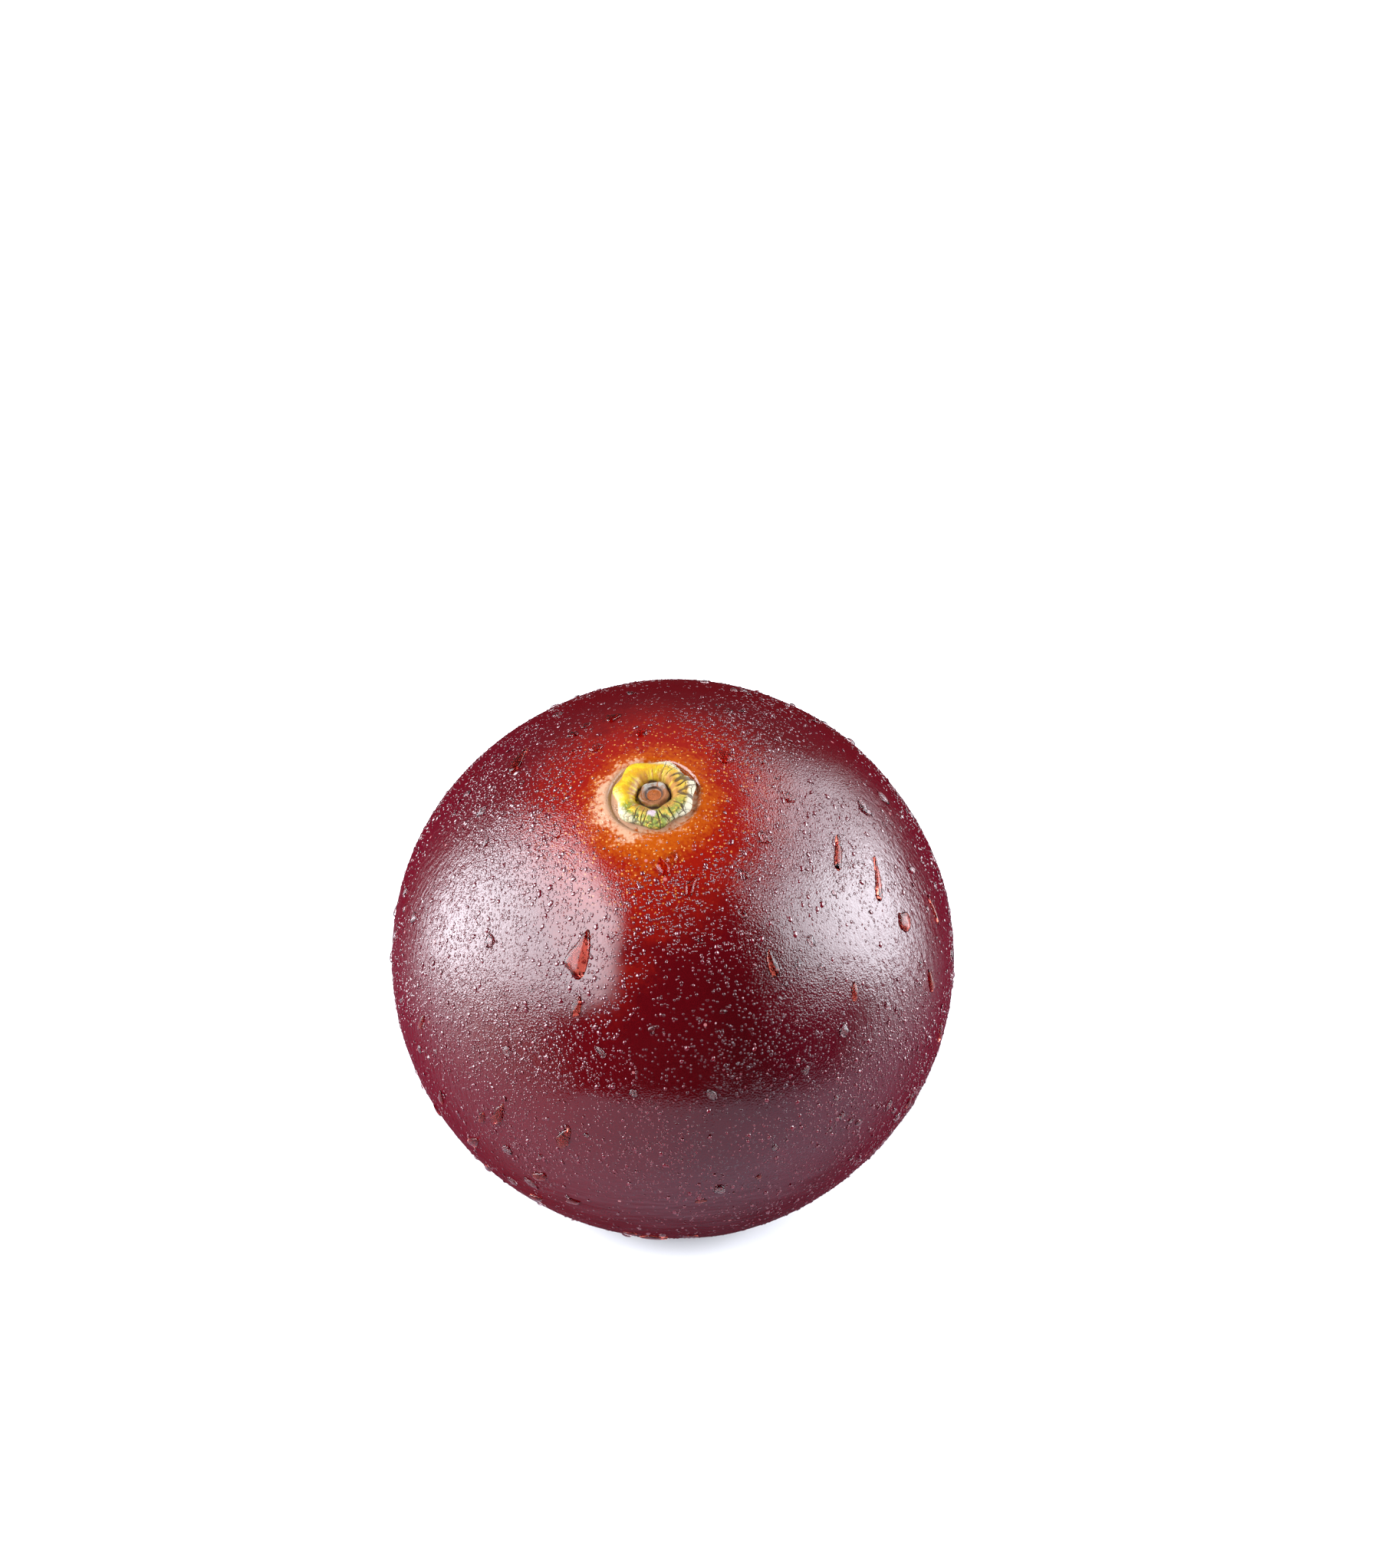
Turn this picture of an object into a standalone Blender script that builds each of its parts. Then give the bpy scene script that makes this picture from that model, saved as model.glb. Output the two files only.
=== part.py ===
"""A phalsa berry: one ripe drupe as picked, with the corky scar that its stalk left.

The fruit grew as one piece, so it is one solid. It is turned upright in its own frame, with
the stalk scar on top and its middle at the origin, then given the lobes and the slight
unevenness that it grew with, and leaned over onto the side that it rests on. In the finished
model +Z is up, and the origin is on the resting surface, straight under the fruit's middle.
"""

import math

import bmesh
import bpy
from mathutils import Matrix

MM = 0.001

# The fruit.
DIAMETER = 16.0 * MM  # across the stalk axis, where it is widest
POLE_LENGTH = 15.6 * MM  # along the stalk axis, from skin to skin
REST_SPOT_RADIUS = 1.8 * MM
LEAN = math.radians(26)  # stalk axis from upright
LEAN_BEARING = math.radians(-8.5)  # which way it leans, from -Y, seen from above
UNEVENNESS = 0.05 * MM  # most that the skin stands off a true spheroid

# The stalk scar: a raised corky ring, a groove, and the plug that fed the fruit.
SCAR_DIAMETER = 2.25 * MM
RING_HEIGHT = 0.24 * MM  # crest of the ring above the skin
RING_EDGE_HEIGHT = 0.14 * MM  # where the ring breaks off to the skin
EDGE_CREASE_WIDTH = 0.09 * MM
EDGE_CREASE_DEPTH = 0.04 * MM  # below the skin, all round the ring
PLUG_DIAMETER = 0.95 * MM
PLUG_HEIGHT = 0.18 * MM
GROOVE_WIDTH = 0.12 * MM
GROOVE_DEPTH = 0.02 * MM  # below the skin
PIT_DIAMETER = 0.42 * MM
PIT_DEPTH = 0.12 * MM  # below the top of the plug

# The lobes of the ring's edge.
LOBES = 7
LOBE_DEPTH = 0.07 * MM
LOBE_TURN = math.radians(25)  # bearing of the first lobe
LOBE_SWING = 0.45  # how far the lobes are from evenly spaced, in radians of their own wave

# The tip opposite the stalk, where the flower's style dried off.
TIP_DIAMETER = 0.7 * MM
TIP_HEIGHT = 0.06 * MM

# Fineness of the solid.
STEPS_ROUND = 72
SKIN_ROW_ANGLE = math.radians(6)
MERGE_DISTANCE = 0.001 * MM
CUTTER_DEPTH = 2.0 * MM

# Derived sizes.
RADIUS = DIAMETER / 2
HALF_LENGTH = POLE_LENGTH / 2
SCAR_RADIUS = SCAR_DIAMETER / 2
PLUG_RADIUS = PLUG_DIAMETER / 2
PIT_RADIUS = PIT_DIAMETER / 2
TIP_RADIUS = TIP_DIAMETER / 2
GROOVE_OUTER_RADIUS = PLUG_RADIUS + GROOVE_WIDTH
CREST_RADIUS = (GROOVE_OUTER_RADIUS + SCAR_RADIUS) / 2
CREASE_OUTER_RADIUS = SCAR_RADIUS + EDGE_CREASE_WIDTH


def middle_height():
    """How high the fruit's middle is when it rests on its flat spot."""
    lowest = math.hypot(RADIUS * math.sin(LEAN), HALF_LENGTH * math.cos(LEAN))
    return lowest * math.sqrt(1 - (REST_SPOT_RADIUS / RADIUS) ** 2)


def skin_height(radius):
    """Height of the plain skin above the fruit's middle, at this distance from the axis."""
    return HALF_LENGTH * math.sqrt(1 - (radius / RADIUS) ** 2)


def scar_outline():
    """(distance from the axis, height) down the scar, from its middle out to the skin."""
    between = (CREST_RADIUS + SCAR_RADIUS) / 2
    raised = [
        (0, PLUG_HEIGHT - PIT_DEPTH),
        (PIT_RADIUS / 2, PLUG_HEIGHT - PIT_DEPTH),
        (PIT_RADIUS, PLUG_HEIGHT - PIT_DEPTH / 3),
        ((PIT_RADIUS + PLUG_RADIUS) / 2, PLUG_HEIGHT),
        (PLUG_RADIUS, PLUG_HEIGHT * 0.8),
        (PLUG_RADIUS + GROOVE_WIDTH * 0.4, -GROOVE_DEPTH),
        (GROOVE_OUTER_RADIUS, (RING_HEIGHT - GROOVE_DEPTH) / 2),
        ((GROOVE_OUTER_RADIUS + CREST_RADIUS) / 2, RING_HEIGHT * 0.88),
        (CREST_RADIUS, RING_HEIGHT),
        (between, (RING_HEIGHT + RING_EDGE_HEIGHT) / 2),
        (SCAR_RADIUS, RING_EDGE_HEIGHT),
        (SCAR_RADIUS + EDGE_CREASE_WIDTH * 0.3, -EDGE_CREASE_DEPTH),
        (CREASE_OUTER_RADIUS, 0),
    ]
    return [(radius, skin_height(radius) + height) for radius, height in raised]


def tip_outline():
    """(distance from the axis, height) along the tip at the far end, out to its middle."""
    rounds = [1, 0.8, 0.6, 0.35, 0]
    return [
        (TIP_RADIUS * r, -skin_height(TIP_RADIUS * r) - TIP_HEIGHT * (1 - r * r))
        for r in rounds
    ]


def skin_outline():
    """(distance from the axis, height) down the skin, between the scar and the tip."""
    first = math.asin(CREASE_OUTER_RADIUS / RADIUS)
    last = math.pi - math.asin(TIP_RADIUS / RADIUS)
    rows = math.ceil((last - first) / SKIN_ROW_ANGLE)
    angles = [first + (last - first) * row / rows for row in range(1, rows)]
    return [(RADIUS * math.sin(a), HALF_LENGTH * math.cos(a)) for a in angles]


def turned_mesh(outline):
    """The outline turned once round Z, with a Screw modifier, as a mesh."""
    profile = bpy.data.meshes.new("outline")
    points = [(radius, 0, height) for radius, height in outline]
    edges = [(i, i + 1) for i in range(len(points) - 1)]
    profile.from_pydata(points, edges, [])
    lathe = bpy.data.objects.new("lathe", profile)
    bpy.context.scene.collection.objects.link(lathe)
    screw = lathe.modifiers.new("turn", "SCREW")
    screw.axis = "Z"
    screw.steps = STEPS_ROUND
    screw.render_steps = STEPS_ROUND
    screw.use_merge_vertices = True
    screw.merge_threshold = MERGE_DISTANCE
    graph = bpy.context.evaluated_depsgraph_get()
    mesh = bpy.data.meshes.new_from_object(lathe.evaluated_get(graph))
    bpy.data.objects.remove(lathe)
    return mesh


def lobe_offset(bearing):
    """How far the ring's edge stands out at this bearing: blunt lobes of unlike size."""
    wave = LOBES * (bearing - LOBE_TURN)
    wave += LOBE_SWING * math.sin(2 * bearing)
    return LOBE_DEPTH * (math.cos(wave) + 0.5 * math.sin(3 * bearing + 1.0))


def skin_offset(bearing, height):
    """How far the skin stands off the true spheroid: soft swells that fade at both ends."""
    towards_middle = 1 - (height / HALF_LENGTH) ** 2
    swell = 0.5 * math.sin(2 * bearing + 0.6) + 0.3 * math.sin(3 * bearing + 1.9)
    swell += 0.2 * math.sin(5 * bearing + 4.0 * height / HALF_LENGTH)
    return UNEVENNESS * swell * max(0.0, towards_middle)


def grow(mesh):
    """Moves the turned mesh's points out from the axis to the lobes and swells of growth."""
    shape = bmesh.new()
    shape.from_mesh(mesh)
    for vert in shape.verts:
        radius = math.hypot(vert.co.x, vert.co.y)
        if radius < MERGE_DISTANCE:
            continue
        bearing = math.atan2(vert.co.y, vert.co.x)
        offset = skin_offset(bearing, vert.co.z)
        if vert.co.z > 0:
            reach = (radius - GROOVE_OUTER_RADIUS) / (SCAR_RADIUS - GROOVE_OUTER_RADIUS)
            fade = (2 * SCAR_RADIUS - radius) / SCAR_RADIUS
            share = max(0.0, min(reach, fade, 1.0))
            offset += lobe_offset(bearing) * share
        vert.co.x *= 1 + offset / radius
        vert.co.y *= 1 + offset / radius
    shape.to_mesh(mesh)
    shape.free()


def make_material(name, colour, roughness):
    material = bpy.data.materials.new(name)
    material.use_nodes = True
    shader = material.node_tree.nodes["Principled BSDF"]
    shader.inputs["Base Color"].default_value = (*colour, 1)
    shader.inputs["Roughness"].default_value = roughness
    shader.inputs["Metallic"].default_value = 0.0
    material.diffuse_color = (*colour, 1)
    return material


def paint(mesh):
    """Ripe skin all over, and cork on the scar."""
    mesh.materials.append(make_material("ripe_skin", (0.075, 0.006, 0.010), 0.25))
    mesh.materials.append(make_material("scar_cork", (0.62, 0.36, 0.05), 0.7))
    for face in mesh.polygons:
        radius = math.hypot(face.center.x, face.center.y)
        face.material_index = int(face.center.z > 0 and radius < SCAR_RADIUS)


def make_spot_cutter(collection):
    """The block that trims the fruit flat where it rests: its top is the resting surface."""
    bpy.ops.mesh.primitive_cube_add(size=1, location=(0, 0, -CUTTER_DEPTH / 2))
    cutter = bpy.context.object
    cutter.name = "rest_spot_cutter"
    cutter.scale = (DIAMETER, DIAMETER, CUTTER_DEPTH)
    cutter.hide_render = True
    cutter.display_type = "WIRE"
    for holder in list(cutter.users_collection):
        holder.objects.unlink(cutter)
    collection.objects.link(cutter)
    return cutter


def make_berry(collection, cutter):
    mesh = turned_mesh(scar_outline() + skin_outline() + tip_outline())
    mesh.name = "berry"
    grow(mesh)
    paint(mesh)
    mesh.shade_smooth()
    berry = bpy.data.objects.new("berry", mesh)
    collection.objects.link(berry)
    turn = Matrix.Rotation(LEAN_BEARING, 4, "Z") @ Matrix.Rotation(LEAN, 4, "X")
    berry.matrix_world = Matrix.Translation((0, 0, middle_height())) @ turn
    trim = berry.modifiers.new("rest_spot", "BOOLEAN")
    trim.operation = "DIFFERENCE"
    trim.object = cutter
    return berry


def main():
    for leftover in list(bpy.data.objects):
        bpy.data.objects.remove(leftover)
    parts = bpy.data.collections.new("phalsa_berry")
    cutters = bpy.data.collections.new("cutters")
    bpy.context.scene.collection.children.link(parts)
    bpy.context.scene.collection.children.link(cutters)
    make_berry(parts, make_spot_cutter(cutters))


main()
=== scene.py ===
# %% [markdown]
# # A phalsa berry, wet with dew
#
# The berry's size and place come from a finished CAD model, the frame. This script gives it its
# looks: the skin with its colours, the corky scar where the stalk was, and thousands of water
# drops. It is meant to be read from top to bottom, one cell at a time.

# %% Load the fixed frame
import math

import bpy
import numpy as np
from mathutils import Matrix, Vector, noise
from mathutils.bvhtree import BVHTree


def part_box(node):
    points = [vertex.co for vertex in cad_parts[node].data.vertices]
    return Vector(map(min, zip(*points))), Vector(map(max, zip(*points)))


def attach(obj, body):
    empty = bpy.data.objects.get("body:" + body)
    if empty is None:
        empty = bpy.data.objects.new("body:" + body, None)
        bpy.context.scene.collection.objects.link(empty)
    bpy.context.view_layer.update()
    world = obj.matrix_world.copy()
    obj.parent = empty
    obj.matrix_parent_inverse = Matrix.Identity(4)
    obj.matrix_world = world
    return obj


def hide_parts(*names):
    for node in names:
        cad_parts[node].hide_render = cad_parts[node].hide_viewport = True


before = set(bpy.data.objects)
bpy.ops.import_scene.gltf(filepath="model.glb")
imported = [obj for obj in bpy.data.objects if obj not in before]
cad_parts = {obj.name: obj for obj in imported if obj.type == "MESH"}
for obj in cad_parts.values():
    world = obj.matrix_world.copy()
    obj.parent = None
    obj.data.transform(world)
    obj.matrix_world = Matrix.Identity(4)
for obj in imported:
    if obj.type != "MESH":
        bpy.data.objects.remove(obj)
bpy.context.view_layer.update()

MM = 0.001

# %% [markdown]
# ## The fruit's own measures
#
# A berry is drawn most easily upright, with its stalk scar on top, and leaned over afterwards.
# So there are two frames: the fruit's own, and the world's, in which it rests on the floor. The
# width comes from the CAD box. The lean, the flat spot that the fruit rests on and the sizes of
# the scar are the ones that the CAD part has.

# %% Measure the fruit
low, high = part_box("berry")
WIDTH = high.x - low.x
RADIUS = WIDTH / 2
HALF_LENGTH = 0.975 * RADIUS  # a touch shorter along the stalk than across it
LEAN = math.radians(26)
LEAN_BEARING = math.radians(-8.5)
SPOT_RADIUS = 1.8 * MM

lowest = math.hypot(RADIUS * math.sin(LEAN), HALF_LENGTH * math.cos(LEAN))
MIDDLE = Vector((0, 0, lowest * math.sqrt(1 - (SPOT_RADIUS / RADIUS) ** 2)))
TURN = Matrix.Rotation(LEAN_BEARING, 4, "Z") @ Matrix.Rotation(LEAN, 4, "X")
STAND = Matrix.Translation(MIDDLE) @ TURN  # from the fruit's own frame to the world
STALK_AXIS = TURN @ Vector((0, 0, 1))

SCAR_RADIUS = 1.125 * MM
PLUG_RADIUS = 0.475 * MM

print("fruit", round(WIDTH / MM, 2), "mm wide, its middle", round(MIDDLE.z / MM, 2), "mm up")

# %% [markdown]
# ## The camera
#
# The view looks down on the fruit from in front. Instead of typing in a place, we say how large
# the fruit is to appear and how far from the picture's middle, and work out the distance. A long
# lens keeps the outline round.

# %% Set up the camera
VIEW_RISE = math.radians(30)
LENS_MM = 85
SENSOR_MM = 36  # the tall side of the picture
FRUIT_SHARE = 0.3586  # the fruit's width, as a share of the picture's height
FRUIT_BELOW = 0.1106  # its middle, below the picture's middle, as a share of that height
FRUIT_LEFT = 0.0095  # its middle, left of the picture's middle, the same way

picture_spread = SENSOR_MM / LENS_MM
half_angle = math.atan(FRUIT_SHARE * picture_spread / 2)
view_distance = RADIUS / math.sin(half_angle)
TO_CAMERA = Vector((0, -math.cos(VIEW_RISE), math.sin(VIEW_RISE)))
CAMERA_UP = Vector((0, math.sin(VIEW_RISE), math.cos(VIEW_RISE)))
CAMERA_RIGHT = Vector((1, 0, 0))

camera_data = bpy.data.cameras.new("camera")
camera_data.lens = LENS_MM
camera_data.sensor_width = SENSOR_MM
camera_data.clip_start = 1 * MM
camera_data.clip_end = 10
camera = bpy.data.objects.new("camera", camera_data)
bpy.context.scene.collection.objects.link(camera)
camera.location = MIDDLE + TO_CAMERA * view_distance
side_step = CAMERA_UP * FRUIT_BELOW + CAMERA_RIGHT * FRUIT_LEFT
aim = MIDDLE + side_step * picture_spread * view_distance
camera.rotation_euler = (aim - camera.location).to_track_quat("-Z", "Y").to_euler()
bpy.context.scene.camera = camera
print("camera", round(view_distance / MM, 1), "mm from the fruit's middle")

# %% [markdown]
# ## Small helpers for modelling by hand
#
# Blender's operators act on whatever is selected, so every step starts from a clean selection.

# %% Selection helpers
def deselect_all():
    if bpy.context.mode != "OBJECT":
        bpy.ops.object.mode_set(mode="OBJECT")
    bpy.ops.object.select_all(action="DESELECT")


def pick(piece):
    deselect_all()
    bpy.context.view_layer.objects.active = piece
    piece.select_set(True)


def edit_faces(piece, wanted):
    """Opens the piece in edit mode with only the faces selected whose middle passes the test."""
    pick(piece)
    bpy.ops.object.mode_set(mode="EDIT")
    bpy.ops.mesh.select_mode(type="FACE")
    bpy.ops.mesh.select_all(action="DESELECT")
    bpy.ops.object.mode_set(mode="OBJECT")
    for face in piece.data.polygons:
        face.select = wanted(face.center)
    bpy.ops.object.mode_set(mode="EDIT")


def close_edit():
    bpy.ops.object.mode_set(mode="OBJECT")


def subdivide_smoothly(piece, levels):
    pick(piece)
    rounding = piece.modifiers.new("rounding", "SUBSURF")
    rounding.levels = levels
    rounding.render_levels = levels
    bpy.ops.object.modifier_apply(modifier=rounding.name)


def stand_up(piece):
    """Moves a piece drawn in the fruit's own frame to its place in the world."""
    piece.data.transform(STAND)
    piece.data.update()


def push_out(piece, distance):
    """Moves every point along its normal by distance(place). The normals are read first."""
    mesh = piece.data
    normals = [vert.normal.copy() for vert in mesh.vertices]
    for vert, normal in zip(mesh.vertices, normals):
        vert.co += normal * distance(vert.co)


def smooth(value, start, end):
    """0 before start and 1 after end, with a soft rise between them."""
    share = min(1.0, max(0.0, (value - start) / (end - start)))
    return share * share * (3 - 2 * share)


def finish_piece(piece, name, finish):
    piece.name = name
    piece.data.name = name
    piece.data.materials.clear()
    piece.data.materials.append(finish)
    pick(piece)
    bpy.ops.object.shade_smooth()
    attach(piece, "root")
    print(name, len(piece.data.polygons), "faces")


# %% [markdown]
# ## Shader maths as plain expressions
#
# A procedural finish is mostly arithmetic: masks are added, multiplied and compared. Wire wraps
# one output of a node, so that the sum of two wires adds a Math node. NodeTree adds the nodes of
# a finish or of the studio's light.

# %% Wires
class Wire:
    """One socket of a node tree, with Python's operators."""

    def __init__(self, tree, socket):
        self.tree = tree
        self.socket = socket

    def math(self, operation, *others, first=None):
        inputs = [self if first is None else first, *others]
        if first is not None:
            inputs.append(self)
        return self.tree.add("ShaderNodeMath", {"operation": operation}, dict(enumerate(inputs)))

    def __add__(self, other):
        return self.math("ADD", other)

    def __radd__(self, other):
        return self.math("ADD", other)

    def __sub__(self, other):
        return self.math("SUBTRACT", other)

    def __rsub__(self, other):
        return self.math("SUBTRACT", first=other)

    def __mul__(self, other):
        return self.math("MULTIPLY", other)

    def __rmul__(self, other):
        return self.math("MULTIPLY", other)

    def __truediv__(self, other):
        return self.math("DIVIDE", other)

    def __pow__(self, power):
        return self.math("POWER", power)

    def steps(self, start, end):
        """0 before start and 1 after end, with a soft rise between them."""
        limits = {"From Min": start, "From Max": end}
        settings = {"interpolation_type": "SMOOTHSTEP"}
        return self.tree.add("ShaderNodeMapRange", settings, {"Value": self, **limits})

    def between(self, start, end, soft):
        """1 between start and end, with soft edges."""
        return self.steps(start - soft, start + soft) * (1 - self.steps(end - soft, end + soft))

    def clamp(self):
        return self.math("MAXIMUM", 0.0).math("MINIMUM", 1.0)


# %% Node trees
class NodeTree:
    """Adds nodes to the tree of a material or a world."""

    def __init__(self, holder):
        holder.use_nodes = True
        self.nodes = holder.node_tree.nodes
        self.links = holder.node_tree.links

    def plug(self, socket, value):
        if isinstance(value, Wire):
            self.links.new(value.socket, socket)
        elif isinstance(value, tuple) and len(value) == 3 and socket.type == "RGBA":
            socket.default_value = (*value, 1)
        else:
            socket.default_value = value

    def add(self, kind, settings=None, inputs=None, output=0):
        node = self.nodes.new(kind)
        for name, value in (settings or {}).items():
            setattr(node, name, value)
        for name, value in (inputs or {}).items():
            self.plug(node.inputs[name], value)
        return Wire(self, node.outputs[output])

    def split(self, place):
        """The three parts of a place, each as a wire."""
        node = self.add("ShaderNodeSeparateXYZ", None, {0: place}).socket.node
        return [Wire(self, node.outputs[axis]) for axis in "XYZ"]


class Finish(NodeTree):
    """A material built from one Principled shader."""

    def __init__(self, name):
        self.material = bpy.data.materials.new(name)
        super().__init__(self.material)
        self.shader = self.nodes["Principled BSDF"]

    def set(self, **values):
        for name, value in values.items():
            self.plug(self.shader.inputs[name.replace("_", " ")], value)

    def mix(self, share, first, second):
        settings = {"data_type": "RGBA", "clamp_factor": True}
        return self.add("ShaderNodeMix", settings, {0: share, 6: first, 7: second}, output=2)

    def here(self):
        return self.add("ShaderNodeTexCoord", output="Object")

    def in_fruit(self):
        """Places in the fruit's own frame, in metres: Z is the stalk axis."""
        settings = {"vector_type": "TEXTURE"}
        inputs = {"Vector": self.here(), "Location": MIDDLE, "Rotation": TURN.to_euler()}
        return self.add("ShaderNodeMapping", settings, inputs)

    def stretched(self, where, x, y, z):
        return self.add("ShaderNodeMapping", None, {"Vector": where, "Scale": (x, y, z)})

    def noise(self, where, size, detail=2.0, roughness=0.5, distortion=0.0):
        """Soft noise whose lumps are about this size."""
        inputs = {"Vector": where, "Scale": 1 / size, "Detail": detail}
        inputs.update({"Roughness": roughness, "Distortion": distortion})
        return self.add("ShaderNodeTexNoise", None, inputs, output="Fac")

    def beads(self, where, size, share, smallest=0.22, spread=0.20):
        """Rounded beads in cells of about this size. Share says how many cells hold one."""
        inputs = {"Vector": where, "Scale": 1 / size}
        distance = self.add("ShaderNodeTexVoronoi", None, inputs, output="Distance")
        chance, growth, _ = self.split(Wire(self, distance.socket.node.outputs["Color"]))
        across = distance / (growth * spread + smallest)
        dome = (1 - across * across).math("MAXIMUM", 0.0) ** 0.5
        return dome * chance.math("LESS_THAN", share)

    def dull_edge_on(self, colour, roughness, normal):
        """Mixes in a twin of the shader without gloss where the surface is seen edge-on."""
        dull = self.nodes.new("ShaderNodeBsdfPrincipled")
        self.plug(dull.inputs["Base Color"], colour)
        self.plug(dull.inputs["Normal"], normal)
        self.plug(dull.inputs["Roughness"], roughness)
        self.plug(dull.inputs["Specular IOR Level"], 0.0)
        edge_on = self.add("ShaderNodeLayerWeight", None, {"Blend": 0.5}, output="Facing")
        share = edge_on.steps(0.34, 0.80) * 0.9
        inputs = {0: share, 1: Wire(self, self.shader.outputs[0]), 2: Wire(self, dull.outputs[0])}
        mixed = self.add("ShaderNodeMixShader", None, inputs)
        self.plug(self.nodes["Material Output"].inputs["Surface"], mixed)

    def bump(self, height, depth, under=None):
        inputs = {"Height": height, "Distance": depth}
        if under is not None:
            inputs["Normal"] = under
        return self.add("ShaderNodeBump", None, inputs, output="Normal")


# %% [markdown]
# ## Floor and studio light
#
# Glossy fruit is mostly a picture of the studio round it. A broad window lights it from the left
# and a smaller one from the right, and the side towards the camera is dark, so that the middle of
# the fruit shows its own deep red. The windows are painted into the world's light by bearing and
# height, because there they light the floor evenly too. The floor is one sheet of white paper,
# which would wash out the fruit's underside if its gloss saw it. So the gloss sees a smaller grey
# card instead, and past the card it sees the studio.

# %% Build the floor
FLOOR_RADIUS = 0.6
PAPER_WHITE = (0.86, 0.86, 0.86)
CARD_GREY = (0.35, 0.27, 0.33)
CARD_RADIUS = 23 * MM
CARD_GAP = 0.02 * MM  # between the card and the paper under it
FLOOR_SIDES = 96


def paper_finish(name, colour):
    finish = Finish(name)
    finish.set(Base_Color=colour, Roughness=0.9)
    return finish.material


def add_disc(name, radius, height, colour):
    deselect_all()
    bpy.ops.mesh.primitive_circle_add(
        vertices=FLOOR_SIDES, radius=radius, fill_type="NGON", location=(0, 0, height)
    )
    bpy.ops.object.transform_apply(location=True, rotation=True, scale=True)
    disc = bpy.context.object
    disc.name = name
    disc.data.materials.append(paper_finish(name, colour))
    return disc


floor = add_disc("white_paper", FLOOR_RADIUS, -CARD_GAP, PAPER_WHITE)
floor.visible_glossy = False
card = add_disc("grey_card", CARD_RADIUS, 0.0, CARD_GREY)
card.visible_camera = False
card.visible_shadow = False
card.visible_diffuse = False
card.visible_transmission = False
print("floor", FLOOR_RADIUS * 2, "m across")

# %% Light the studio
LIGHT_COLOUR = (0.90, 0.94, 1.02)
BACKDROP_WHITE = (1.0, 1.0, 1.0)
LEFT_WINDOW_GLOW = 11.0
LEFT_SHINE_GLOW = 5.0  # on top of the left window, over its lower part
RIGHT_WINDOW_GLOW = 9.5
RIGHT_HAZE_GLOW = 7.0  # beside the right window, and further back
LOW_LEFT_GLOW = 2.3  # from below, as a pale table throws light back
LOW_RIGHT_GLOW = 2.2
ROOM_GLOW = 0.03
ROOM_BEHIND_GLOW = 0.14


def light_studio():
    """Light by direction: turn runs from the front to the right, rise up from the floor."""
    world = bpy.data.worlds.new("studio")
    bpy.context.scene.world = world
    studio = NodeTree(world)
    studio.nodes.clear()
    x, y, z = studio.split(studio.add("ShaderNodeTexCoord", output="Generated"))
    turn = x.math("ARCTAN2", y * -1) / math.radians(1)
    rise = z.math("ARCSINE") / math.radians(1)

    foot = (rise - (turn + 69) * 0.32).steps(-7, 7)
    head = 1 - (rise + (turn + 70) ** 2 * 0.007).steps(51, 63)
    left_window = (turn - rise * 0.28).steps(-125, -112) * (1 - turn.steps(-37, -19)) * foot * head
    left_shine = turn.between(-116, -78, 9) * rise.between(0, 32, 9)
    right_slope = rise + (turn - 72) * 0.48
    right_window = turn.between(52, 115, 8) * right_slope.between(4, 43, 6)
    right_haze = turn.between(78, 138, 12) * rise.between(7, 53, 10)
    low = rise.between(-46, 2, 8)
    low_left = low * turn.steps(-148, -114) * (1 - turn.steps(-98, -34))
    low_right = low * turn.steps(58, 112) * (1 - turn.steps(112, 138))
    room = y.steps(-0.2, 0.8) * ROOM_BEHIND_GLOW + ROOM_GLOW
    glow = left_window * LEFT_WINDOW_GLOW + left_shine * LEFT_SHINE_GLOW
    glow = glow + right_window * RIGHT_WINDOW_GLOW + right_haze * RIGHT_HAZE_GLOW
    glow = glow + low_left * LOW_LEFT_GLOW + low_right * LOW_RIGHT_GLOW + room

    around = studio.add("ShaderNodeBackground", None, {"Color": LIGHT_COLOUR, "Strength": glow})
    backdrop = studio.add("ShaderNodeBackground", None, {"Color": BACKDROP_WHITE})
    seen = studio.add("ShaderNodeLightPath", output="Is Camera Ray")
    shown = studio.add("ShaderNodeMixShader", None, {0: seen, 1: around, 2: backdrop})
    result = studio.nodes.new("ShaderNodeOutputWorld")
    studio.plug(result.inputs["Surface"], shown)


light_studio()
bpy.context.scene.view_settings.view_transform = "Standard"
bpy.context.scene.view_settings.look = "None"
print("studio lit")

# %% [markdown]
# ## The skin
#
# A ripe drupe is almost a ball, a little shorter along its stalk, and never quite even. The cage
# is a UV sphere with its pole under the stalk, because the scar sits there in rings. The skin
# swells into a low collar against the scar, which a few insets draw. A subdivision rounds the
# cage, and a Displace modifier with a large soft cloud gives the swells that make it look grown.
# Low down, the dew has run together into a wavy film, which is sculpted point by point.

# %% Model the skin
CAGE_COLUMNS = 92
CAGE_ROWS = 62
COLLAR_START = 1.5 * MM
COLLAR_RISE = 0.03 * MM
# Each is (step inwards in mm, step up in collar rises).
COLLAR_INSETS = ((0.16, 0.5), (0.12, 0.5), (0.08, -1.0), (0.08, -3.0))
SWELL_SIZE = 5 * MM
SWELL_HEIGHT = 0.10 * MM
CUT_CLEARANCE = 0.001 * MM  # a point this close to the cut counts as lying on it


def add_ball():
    deselect_all()
    bpy.ops.mesh.primitive_uv_sphere_add(
        segments=CAGE_COLUMNS, ring_count=CAGE_ROWS, radius=RADIUS
    )
    ball = bpy.context.object
    edit_faces(ball, lambda middle: True)
    bpy.ops.transform.resize(value=(1, 1, HALF_LENGTH / RADIUS))
    close_edit()
    return ball


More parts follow.
